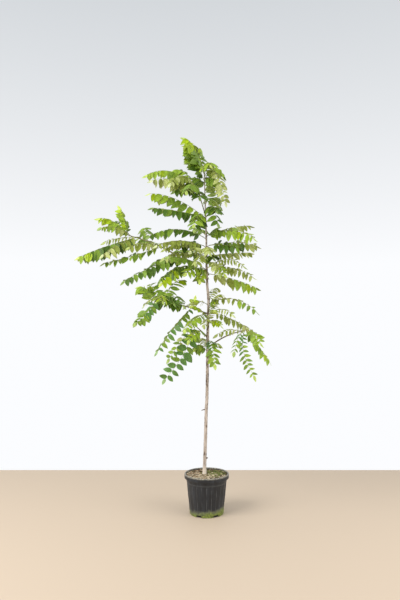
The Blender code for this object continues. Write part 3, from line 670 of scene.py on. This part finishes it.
def leaf_line(mass, number, leaf, stem):
    """Middle line of a leaf's stalk from its place on the stem to the foot of its last leaflet."""
    ahead = compass_direction(leaf.compass)
    if mass.foot == TIP:
        foot = lines[mass.limb][-1]
        share = SHOOT_TOP_SHARE - SHOOT_LEAF_SPREAD * number / len(mass.leaves)
    else:
        foot = stem[0]
        share = SIDE_LEAF_SHARE
    start = stem[0].lerp(stem[1], share)
    end = foot + leaf.reach * ahead + leaf.rise * UP
    whole = arched_line(start, end, leaf.arch * UP + leaf.bow * UP.cross(ahead), ARCH_STEPS)
    kept = 1.0 - END_LEAFLET_LENGTH / (end - start).length
    return [place_on(whole, kept * step / ARCH_STEPS)[0] for step in range(ARCH_STEPS + 1)]


# %% Rule for leaflets
BARE_LENGTH = 0.045
BARE_SHARE = 0.14
PAIRS_LEAST = 5
PAIR_FIRST = 0.3
PAIR_LAST = 0.5
PAIR_STAGGER = 0.08
PAIR_LIMIT = 0.985
LEAFLET_LENGTH = 0.089
SIZE_LEAST = 0.70
SIZE_SWELL = 0.34
SIZE_END = 0.8
SIZE_CHANCE = (0.82, 1.14)
WIDTH_CHANCE = (0.84, 1.16)
LIGHT_TURN = 38
ROLL_CHANCE = 14
ON_CHANCE = 0.20
DOWN_CHANCE = (0.65, 1.35)
OUT_CHANCE = (0.75, 1.25)
HAND_CHANCE = 0.16
LEAFLET_TILT = 0.45
END_LEAFLET_DOWN = 0.5
END_LEAFLET_TILT = (0.5, 1.0)
LIMB_CLEARANCE = 0.004


def leaflet_frame(root, out, flat, length, width):
    """Matrix that lays a leaflet of length 1 from its root along out, with its width along flat."""
    width_way = (flat - flat.dot(out) * out).normalized()
    turn = Matrix((out, width_way, out.cross(width_way))).transposed().to_4x4()
    return Matrix.Translation(root) @ turn @ Matrix.Diagonal((length, width, length, 1.0))


def leaflet_rule(line, leaf, look, chance):
    """Share of the leaf and matrix of each of its leaflets."""
    total = sum((far - near).length for near, far in zip(line, line[1:]))
    bare = min(BARE_LENGTH, BARE_SHARE * total)
    pairs = max(PAIRS_LEAST, round((total - bare) / look.spacing))
    way = line[-1] - line[0]
    to_light = LIGHT_TURN * math.cos(math.radians(leaf.compass))
    turn = math.radians(to_light + leaf.roll + chance.uniform(-ROLL_CHANCE, ROLL_CHANCE))
    side = (Matrix.Rotation(turn, 3, way) @ way.cross(UP)).normalized()
    for pair in range(pairs):
        step = (pair + PAIR_FIRST) / (pairs - 1 + PAIR_FIRST + PAIR_LAST)
        middle = (pair + SIZE_END) / (pairs - 1 + 2 * SIZE_END)
        size = look.size * LEAFLET_LENGTH * (SIZE_LEAST + SIZE_SWELL * math.sin(math.pi * middle))
        hang = leaf.hang * look.down * chance.uniform(*DOWN_CHANCE)
        for hand in (-1, 1):
            share = (bare + (total - bare) * step) / total + hand * PAIR_STAGGER / pairs
            point, ahead = place_on(line, min(share, PAIR_LIMIT))
            sag = UP - UP.dot(ahead) * ahead
            on = look.on + chance.uniform(-ON_CHANCE, ON_CHANCE)
            out = side * hand * look.out * chance.uniform(*OUT_CHANCE) + on * ahead
            out = (out - (hang + chance.uniform(-HAND_CHANCE, HAND_CHANCE)) * sag).normalized()
            length = size * chance.uniform(*SIZE_CHANCE)
            width = length * look.breadth * chance.uniform(*WIDTH_CHANCE)
            flat = hand * ahead + LEAFLET_TILT * chance.uniform(-1, 1) * out.cross(ahead)
            yield step, leaflet_frame(point, out, flat, length, width)
    point, ahead = line[-1], (line[-1] - line[-2]).normalized()
    flat = side + chance.uniform(*END_LEAFLET_TILT) * UP
    out = (ahead - END_LEAFLET_DOWN * UP).normalized()
    yield 1.0, leaflet_frame(point, out, flat, END_LEAFLET_LENGTH, END_LEAFLET_LENGTH)


# %% Grow every leaf
Placed = namedtuple("Placed", "frame shape mass")
Look = namedtuple("Look", "base tip spacing size on out down breadth tip_from", defaults=(1.0, 0.45))
LOOKS = {
    "young": Look("fresh", "young", 0.028, 0.84, 0.65, 0.50, 0.80),
    "tender": Look("grown", "fresh", 0.030, 0.90, 0.40, 0.80, 0.50, tip_from=0.55),
    "ripe": Look("deep", "young", 0.034, 1.14, 0.45, 0.60, 0.80, breadth=1.1, tip_from=0.86),
    "crest": Look("grown", "young", 0.032, 1.30, 0.05, 0.80, 0.50, tip_from=0.60),
    "faded": Look("deep", "bronze", 0.037, 0.94, 0.30, 0.75, 0.44, tip_from=0.60),
    "apart": Look("grown", "fresh", 0.057, 1.14, 0.30, 0.70, 0.60, breadth=1.1, tip_from=0.60),
    "loose": Look("olive", "fresh", 0.057, 1.10, 0.30, 0.70, 0.60),
    "close": Look("grown", "fresh", 0.036, 0.74, 0.30, 0.70, 0.43),
    "wisp": Look("bronze", "olive", 0.029, 0.58, 0.40, 0.75, 0.45, breadth=0.75),
    "spare": Look("olive", "grown", 0.046, 0.76, 0.30, 0.75, 0.46),
    "fresh": Look("grown", "fresh", 0.040, 0.97, 0.30, 0.70, 0.43),
    "grown": Look("grown", "grown", 0.042, 1.00, 0.30, 0.70, 0.45),
    "deep": Look("deep", "deep", 0.041, 1.00, 0.30, 0.75, 0.42),
    "olive": Look("olive", "olive", 0.035, 0.82, 0.30, 0.75, 0.46),
    "bronze": Look("olive", "bronze", 0.032, 0.78, 0.30, 0.75, 0.42),
    "droop": Look("olive", "bronze", 0.048, 1.05, 0.30, 0.65, 0.70, breadth=0.85),
    "cool": Look("cool", "cool", 0.054, 0.98, 0.30, 0.95, 0.80, breadth=1.25),
    "fern": Look("cool", "cool", 0.043, 0.88, 0.30, 0.90, 0.80),
    "slim": Look("cool", "grown", 0.034, 0.78, 0.45, 0.80, 0.60, breadth=1.2),
    "fine": Look("cool", "grown", 0.038, 0.62, 0.45, 0.80, 0.60, breadth=0.85),
    "sprig": Look("bronze", "young", 0.030, 0.60, 0.40, 0.75, 0.35),
}
SISTER_CHANCE = 0.30
SISTERS = {
    "young": "fresh", "fresh": "young", "grown": "fresh", "deep": "grown", "olive": "bronze", "bronze": "olive",
    "cool": "grown"}

limb_trees = []
for name, line in lines.items():
    if name == "trunk":
        radii = [part.radius for part in TRUNK]
    else:
        radii = [BOUGHS[name].root_radius] * len(line)
    limb_bm = rolled_limb(line, radii, 8)
    limb_trees.append(BVHTree.FromBMesh(limb_bm))
    limb_bm.free()


def touches_limb(matrix):
    """Whether a leaflet's middle or tip comes too near a limb."""
    for along in (0.35, 0.7, 1.0):
        point = matrix @ Vector((along, 0.0, 0.0))
        if any(tree.find_nearest(point, LIMB_CLEARANCE)[0] for tree in limb_trees):
            return True
    return False


leaflets = {tint: [] for tint in SISTERS}
stalk_lines = []
stem_lines = []
for name, mass in FOLIAGE.items():
    chance = random.Random(f"{SEED} {name}")
    stem = mass_stem(mass)
    stem_lines.append((stem, mass))
    for number, leaf in enumerate(mass.leaves):
        line = leaf_line(mass, number, leaf, stem)
        stalk_lines.append(line)
        look = LOOKS[leaf.look]
        for share, matrix in leaflet_rule(line, leaf, look, chance):
            shape = chance.randrange(len(leaflet_shapes))
            soft_share = share + chance.uniform(-0.15, 0.15)
            odd = chance.random() < SISTER_CHANCE
            if touches_limb(matrix):
                continue
            tint = look.tip if soft_share > look.tip_from else look.base
            if odd:
                tint = SISTERS[tint]
            leaflets[tint].append(Placed(matrix, shape, name))
print({tint: len(places) for tint, places in leaflets.items()})

# %% [markdown]
# ## Leaf colours
# Young leaflets at the ends of the shoots are yellow-green and grown ones mid green. Those in the crown's shade
# are deep green, partly their own darker colour and partly painted shade, and some that show their backs are olive
# or bronze.
# Every leaf is painted by its place, so each colour is a plain material of its own, dealt out leaf by leaf, with
# only a soft mottling on top.

# %% Leaf finishes and pieces
Tint = namedtuple("Tint", "top under")
TINTS = {
    "young": Tint(srgb(158, 183, 18), srgb(204, 220, 112)),
    "fresh": Tint(srgb(144, 172, 50), srgb(186, 206, 106)),
    "grown": Tint(srgb(119, 148, 48), srgb(168, 190, 104)),
    "deep": Tint(srgb(78, 108, 30), srgb(132, 156, 78)),
    "olive": Tint(srgb(138, 151, 62), srgb(178, 190, 112)),
    "bronze": Tint(srgb(180, 189, 112), srgb(208, 216, 158)),
    "cool": Tint(srgb(96, 136, 62), srgb(152, 182, 116)),
}


def leaf_finish(name, colour, roughness):
    made, tree, shader, place = new_finish(name, roughness, 0.25)
    mottling = between(tree, spots(tree, place, 45.0), 0.3, 0.7)
    darker = (*[channel * 0.64 for channel in colour[:3]], 1.0)
    lighter = (*[channel * 1.14 for channel in colour[:3]], 1.0)
    tree.links.new(blend_colours(tree, mottling, darker, lighter), shader.inputs["Base Color"])
    return made


def join_copies(name, shapes, places):
    """One mesh of many copies: each place is a matrix and the number of the shape that goes there."""
    verts = []
    faces = []
    marks = []
    base = 0
    for matrix, number in places:
        shape = shapes[number]
        points = np.empty(len(shape.vertices) * 3)
        shape.vertices.foreach_get("co", points)
        turned = points.reshape(-1, 3) @ np.array(matrix.to_3x3()).T + np.array(matrix.translation)
        verts.append(turned)
        faces += [[base + index for index in face.vertices] for face in shape.polygons]
        marks += [face.material_index for face in shape.polygons]
        base += len(points) // 3
    mesh = bpy.data.meshes.new(name)
    mesh.from_pydata(np.vstack(verts).tolist(), [], faces)
    mesh.polygons.foreach_set("material_index", marks)
    mesh.update()
    return mesh


for tint, places in leaflets.items():
    mesh = join_copies(f"leaflets_{tint}", leaflet_shapes, [(placed.frame, placed.shape) for placed in places])
    piece = new_object(f"leaflets_{tint}", mesh)
    masses = sorted({placed.mass for placed in places})
    top = leaf_finish(f"leaf_{tint}_top", TINTS[tint].top, 0.42)
    under = leaf_finish(f"leaf_{tint}_under", TINTS[tint].under, 0.6)
    finish_piece(piece, masses, [top, under], sharp=60)
    print(piece.name, len(places), "leaflets,", sum(len(face.vertices) - 2 for face in mesh.polygons), "triangles")

# %% [markdown]
# ## Stalks and shoots
# Each leaf's stalk is swollen where it sits on the shoot and thins to its last leaflet. The stalks are green with
# a brown flush, and the young shoots are browner. They are rolled like the limbs, then joined.

# %% Stalks and shoots
stalk_finish = leaf_finish("leaf_stalk", srgb(142, 146, 78), 0.55)
shoot_finish = leaf_finish("shoot", srgb(128, 112, 78), 0.7)


def joined_limbs(name, limbs, sides):
    """One mesh of several rolled limbs, each a line with its radii."""
    whole = bmesh.new()
    for line, radii in limbs:
        part = mesh_from(rolled_limb(line, radii, sides), "part")
        whole.from_mesh(part)
        bpy.data.meshes.remove(part)
    return mesh_from(whole, name)


def stalk_radii(count):
    radii = []
    for step in range(count):
        share = step / (count - 1)
        swell = 1 + (STALK_SWELL - 1) * math.exp(-share * 14)
        radii.append((STALK_RADIUS + (STALK_TIP_RADIUS - STALK_RADIUS) * share) * swell)
    return radii


stalks = new_object("leaf_stalks", joined_limbs(
    "leaf_stalks", [(line, stalk_radii(len(line))) for line in stalk_lines], 7))
finish_piece(stalks, list(FOLIAGE), [stalk_finish])
stem_limbs = []
for stem, mass in stem_lines:
    steps = 5
    line = [stem[0].lerp(stem[1], step / (steps - 1)) for step in range(steps)]
    stem_limbs.append((line, [STEM_RADIUS * (1.1 - 0.5 * step / (steps - 1)) for step in range(steps)]))
shoots = new_object("shoots", joined_limbs("shoots", stem_limbs, 9))
finish_piece(shoots, list(FOLIAGE), [shoot_finish])
print(len(stalk_lines), "stalks and", len(stem_limbs), "shoots")

# %% [markdown]
# ## The pot
# The pot is moulded plastic: a tapered wall with thin upright ribs, a plain collar, and a rolled rim. The
# natural way to make it is to draw half of its section and spin it. The ribs are then raised by pushing every
# tenth column of the wall outwards, and the drainage mouths at its foot are cut with a Boolean.

# %% Pot shape
POT_SIDES = 240
POT_HEIGHT = 0.335
POT_WALL = 0.0025
BASE_RADIUS = 0.1435
RIB_LOW = 0.066
RIB_HIGH = 0.256
RIB_SPACING = 10
RIB_HEIGHT = 0.0034
RIM_RADIUS = 0.1875
WALL = [(0.1445, 0.066), (0.1480, 0.100), (0.1540, 0.150), (0.1585, 0.205), (0.1630, 0.256)]
NOTCH_COUNT = 6
NOTCH_TURN = math.radians(3)
NOTCH_WIDTH = 0.044
NOTCH_HEIGHT = 0.015
NOTCH_DEPTH = 0.012


def arc(middle, radius, start, end, steps):
    """Points on an arc in the pot's section, from one angle to another in degrees."""
    points = []
    for step in range(steps + 1):
        turn = math.radians(start + (end - start) * step / steps)
        points.append((middle[0] + radius * math.cos(turn), middle[1] + radius * math.sin(turn)))
    return points


def turned(profile, sides):
    """Closed shape turned about the Z axis from an outline of radius and height that ends on the axis."""
    bm = bmesh.new()
    verts = [bm.verts.new((radius, 0.0, height)) for radius, height in profile]
    edges = [bm.edges.new(pair) for pair in zip(verts, verts[1:])]
    bmesh.ops.spin(
        bm, geom=verts + edges, cent=(0, 0, 0), axis=(0, 0, 1), angle=2 * math.pi, steps=sides, use_merge=True)
    bmesh.ops.remove_doubles(bm, verts=bm.verts[:], dist=MERGE)
    bmesh.ops.recalc_face_normals(bm, faces=bm.faces[:])
    return bm


outer = [(0.0, 0.0), (0.12, 0.0)] + arc((BASE_RADIUS - 0.004, 0.004), 0.004, -90, 0, 4) + WALL
outer += arc((0.1665, 0.2645), 0.0022, 180, 100, 3)
outer += [(0.1684, 0.268), (0.1705, 0.289)]
outer += arc((0.1740, 0.2925), 0.0030, 190, 100, 3)
outer += arc((0.1835, 0.3020), 0.0040, -80, 0, 5)
outer += arc((RIM_RADIUS - 0.0045, POT_HEIGHT - 0.0045), 0.0045, 0, 90, 5)
inner = arc((0.1800, POT_HEIGHT - 0.0035), 0.0035, 90, 180, 4)
inner += [(0.1760, 0.318), (0.1685, 0.296), (0.1650, 0.262), (0.1605, 0.256), (BASE_RADIUS - POT_WALL, 0.006)]
inner += [(0.10, 0.004), (0.0, 0.004)]
pot_bm = turned(outer + inner, POT_SIDES)
for vert in pot_bm.verts:
    column = round(math.atan2(vert.co.y, vert.co.x) * POT_SIDES / (2 * math.pi))
    radius = math.hypot(vert.co.x, vert.co.y)
    on_wall = any(abs(radius - wall) < GAP and abs(vert.co.z - height) < GAP for wall, height in WALL)
    if on_wall and column % RIB_SPACING == 0:
        vert.co.xy *= (radius + RIB_HEIGHT) / radius
pot = new_object("nursery_pot", mesh_from(pot_bm, "nursery_pot"))
cutters = []
for count in range(NOTCH_COUNT):
    turn = NOTCH_TURN + 2 * math.pi * count / NOTCH_COUNT
    bm = bmesh.new()
    bmesh.ops.create_cube(bm, size=1.0)
    bmesh.ops.scale(bm, verts=bm.verts[:], vec=(2 * NOTCH_DEPTH, NOTCH_WIDTH, 2 * NOTCH_HEIGHT))
    bmesh.ops.bevel(bm, geom=bm.edges[:], offset=0.003, segments=2, profile=0.5, affect="EDGES", material=-1)
    middle = Vector((BASE_RADIUS * math.cos(turn), BASE_RADIUS * math.sin(turn), 0.0))
    bmesh.ops.transform(
        bm, verts=bm.verts[:], matrix=Matrix.Translation(middle) @ Matrix.Rotation(turn, 4, "Z"))
    cutter = new_object("notch_cutter", mesh_from(bm, "notch_cutter"))
    cut = pot.modifiers.new("notch", "BOOLEAN")
    cut.operation = "DIFFERENCE"
    cut.solver = "EXACT"
    cut.object = cutter
    cutters.append(cutter)
bpy.context.view_layer.update()
pot_mesh = bpy.data.meshes.new_from_object(pot.evaluated_get(bpy.context.evaluated_depsgraph_get()))
pot.modifiers.clear()
pot.data = pot_mesh
for cutter in cutters:
    bpy.data.objects.remove(cutter, do_unlink=True)
print("pot", len(pot.data.polygons), "faces")

# %% [markdown]
# ## Pot finish
# The plastic is matt charcoal. The rim is paler and mottled, partly with dust and soil crumbs and partly with a
# painted highlight on its top.
# The rib edges are paler with wear and a painted highlight, and the collar's lower edge carries a painted
# highlight.
# Algae and moss have grown up from the ground, most on the front right. The green is a mask made of height and
# noise, so it climbs unevenly. Painted shade darkens the drainage mouths at the foot.

# %% Pot finish
POT_BLACK = srgb(20, 23, 28)
POT_GREY = srgb(42, 47, 53)
# Paler grey for worn rib edges, and for the painted highlights on the rib edges and the collar's lower edge.
POT_WEAR_AND_HIGHLIGHT = srgb(74, 76, 77)
COLLAR_LOW = 0.263
COLLAR_EDGE = 0.006
RIM_DARK = srgb(92, 92, 88)
RIM_PALE = srgb(168, 160, 142)
# Near-black for the painted shade round the drainage mouths.
MOUTH_PAINTED_SHADE = srgb(14, 13, 12)
MOSS_FILM = srgb(124, 128, 104)
MOSS_DARK = srgb(66, 74, 30)
MOSS_PALE = srgb(142, 158, 62)
RIB_COUNT = POT_SIDES // RIB_SPACING
MOSS_CLIMB = 0.09
MOSS_LEVEL = 0.033
MOSS_FADE = 0.05

pot_finish, tree, shader, place = new_finish("pot_plastic", 0.45, 0.5)
parts = add_node(tree, "ShaderNodeSeparateXYZ", {"Vector": place})
across, away, height = parts.outputs["X"], parts.outputs["Y"], parts.outputs["Z"]
scuffs = between(tree, spots(tree, place, 30.0, (1.0, 1.0, 0.25)), 0.42, 0.72)
colour = blend_colours(tree, scuffs, POT_BLACK, POT_GREY)
turn = add_node(tree, "ShaderNodeMath", {0: away, 1: across}, operation="ARCTAN2").outputs[0]
ribs = part_of(tree, turn, RIB_COUNT / (2 * math.pi))
from_rib = add_node(tree, "ShaderNodeMath", {0: ribs, 1: 0.5}, operation="PINGPONG").outputs[0]
# The rib edges on the panel are lightened: partly wear, partly a painted highlight where the edges catch the
# light.
rib_wear_and_highlight = part_of(tree, between(tree, from_rib, 0.09, 0.03), between(tree, height, 0.258, 0.250))
rib_wear_and_highlight = part_of(tree, rib_wear_and_highlight, between(tree, spots(tree, place, 14.0), 0.35, 0.60))
colour = blend_colours(tree, rib_wear_and_highlight, colour, POT_WEAR_AND_HIGHLIGHT)
# A paler band at the collar's lower edge is a painted highlight, where that edge catches the light.
above = between(tree, height, COLLAR_LOW - COLLAR_EDGE, COLLAR_LOW)
below = between(tree, height, COLLAR_LOW + 2 * COLLAR_EDGE, COLLAR_LOW + COLLAR_EDGE)
colour = blend_colours(tree, part_of(tree, part_of(tree, above, below), 0.45), colour, POT_WEAR_AND_HIGHLIGHT)
# The rim band is paler and mottled: partly dust and crumbs, partly a painted highlight on the rim's top.
rim_spots = between(tree, spots(tree, place, 90.0), 0.40, 0.62)
rim = blend_colours(tree, rim_spots, RIM_DARK, RIM_PALE)
colour = blend_colours(tree, between(tree, height, 0.322, 0.332), colour, rim)
level = sum_of(tree, part_of(tree, spots(tree, place, 22.0), 0.07), part_of(tree, across, MOSS_CLIMB))
depth = sum_of(tree, sum_of(tree, level, MOSS_LEVEL), part_of(tree, height, -1.0))
film = part_of(tree, between(tree, depth, 0.0, MOSS_FADE / 2), 0.5)
colour = blend_colours(tree, film, colour, MOSS_FILM)
moss = blend_colours(tree, between(tree, spots(tree, place, 110.0), 0.35, 0.65), MOSS_DARK, MOSS_PALE)
colour = blend_colours(tree, part_of(tree, between(tree, depth, MOSS_FADE / 4, MOSS_FADE), 0.9), colour, moss)
# Painted shade: near the foot, the wall round each drainage mouth is darkened, as the openings lie in shadow.
mouths = part_of(tree, sum_of(tree, turn, -NOTCH_TURN), NOTCH_COUNT / (2 * math.pi))
from_mouth = add_node(tree, "ShaderNodeMath", {0: mouths, 1: 0.5}, operation="PINGPONG").outputs[0]
painted_mouth_shade = part_of(tree, between(tree, from_mouth, 0.17, 0.13), between(tree, height, 0.022, 0.016))
tree.links.new(blend_colours(tree, painted_mouth_shade, colour, MOUTH_PAINTED_SHADE), shader.inputs["Base Color"])
add_bump(tree, shader, spots(tree, place, 300.0), 0.0004, 0.35)
finish_piece(pot, ["pot"], [pot_finish], sharp=28)

# %% [markdown]
# ## Soil and mulch
# The pot is filled to about a centimetre below its rim with bark mulch: dark crumbs, brown chips, and tan chips
# that the sun has bleached, with moss to the right of the stem. The bed is a turned disc with
# uneven height, and the chips are a few warped blocks copied many times over it.

# %% Soil bed
SOIL_TOP = 0.322
SOIL_RADIUS = 0.1745
BED_LUMP = 0.004
# Dark brown for the painted shade inside the bed.
SOIL_PAINTED_SHADE = srgb(26, 22, 18)

bed_profile = [(0.0, 0.0065), (0.136, 0.0065), (0.136, 0.020), (0.1412, 0.020), (0.1598, 0.256)]
bed_profile += [(0.1642, 0.263), (0.1678, 0.297), (SOIL_RADIUS, SOIL_TOP)]
bed_profile += [(SOIL_RADIUS * (24 - step) / 24, SOIL_TOP) for step in range(1, 25)]
bed_bm = turned(bed_profile, 96)
for vert in bed_bm.verts:
    if abs(vert.co.z - SOIL_TOP) < GAP and math.hypot(vert.co.x, vert.co.y) < SOIL_RADIUS - 0.002:
        vert.co.z += BED_LUMP * noise.noise(vert.co * 60) + 0.0015 * noise.noise(vert.co * 260)
bed = new_object("soil_bed", mesh_from(bed_bm, "soil_bed"))
soil_finish, tree, shader, place = new_finish("soil", 0.95, 0.2)
grains = between(tree, spots(tree, place, 220.0), 0.35, 0.65)
colour = blend_colours(tree, grains, srgb(62, 48, 34), srgb(122, 102, 80))
moss_place = between(tree, spots(tree, place, 18.0), 0.5, 0.62)
colour = blend_colours(tree, moss_place, colour, srgb(104, 116, 62))
height = add_node(tree, "ShaderNodeSeparateXYZ", {"Vector": place}).outputs["Z"]
# Painted shade: the bed is dark below its top layer, where it is seen in shadow through the drainage mouths.
colour = blend_colours(tree, between(tree, height, 0.25, 0.31), SOIL_PAINTED_SHADE, colour)
tree.links.new(colour, shader.inputs["Base Color"])
add_bump(tree, shader, spots(tree, place, 400.0), 0.001, 0.8)
finish_piece(bed, ["soil"], [soil_finish])

# %% Chips of bark
Chips = namedtuple("Chips", "count colour side depth spread height")
CHIPS = {
    "dark": Chips(330, srgb(70, 56, 42), 0.03, 0.03, 0.12, 0.003),
    "brown": Chips(360, srgb(150, 122, 92), -0.05, 0.02, 0.11, 0.004),
    "tan": Chips(420, srgb(204, 186, 156), -0.04, -0.10, 0.10, 0.006),
    "moss": Chips(330, srgb(122, 126, 70), 0.07, 0.03, 0.055, 0.006),
}


def warped_chip(name, seed):
    """A block about 1 across with rounded, uneven sides."""
    bm = bmesh.new()
    bmesh.ops.create_cube(bm, size=1.0)
    bmesh.ops.bevel(bm, geom=bm.edges[:], offset=0.18, segments=1, profile=0.5, affect="EDGES", material=-1)
    for vert in bm.verts:
        vert.co += 0.35 * noise.noise_vector(vert.co * 1.3 + Vector((seed, 0.0, 0.0)))
    return mesh_from(bm, name)


chip_shapes = [warped_chip("chip", 5.0 * number) for number in range(4)]
for tone, chips in CHIPS.items():
    chance = random.Random(f"{SEED} {tone}")
    places = []
    while len(places) < chips.count:
        point = Vector((chance.gauss(chips.side, chips.spread), chance.gauss(chips.depth, chips.spread), 0.0))
        from_trunk = math.hypot(point.x - TRUNK[0].side, point.y - TRUNK[0].depth)
        if point.length > SOIL_RADIUS - 0.009 or from_trunk < 0.028:
            continue
        point.z = SOIL_TOP + chance.uniform(0.0, chips.height)
        size = chance.uniform(0.006, 0.018)
        turn = Matrix.Rotation(chance.uniform(0, 2 * math.pi), 4, "Z")
        tilt = Matrix.Rotation(chance.uniform(-0.5, 0.5), 4, "X")
        scale = Matrix.Diagonal((size, size * chance.uniform(0.3, 0.7), size * chance.uniform(0.12, 0.3), 1.0))
        places.append((Matrix.Translation(point) @ turn @ tilt @ scale, chance.randrange(len(chip_shapes))))
    piece = new_object(f"mulch_{tone}", join_copies(f"mulch_{tone}", chip_shapes, places))
    finish_piece(piece, ["soil"], [leaf_finish(f"mulch_{tone}", chips.colour, 0.9)])
print(sum(chips.count for chips in CHIPS.values()), "chips")
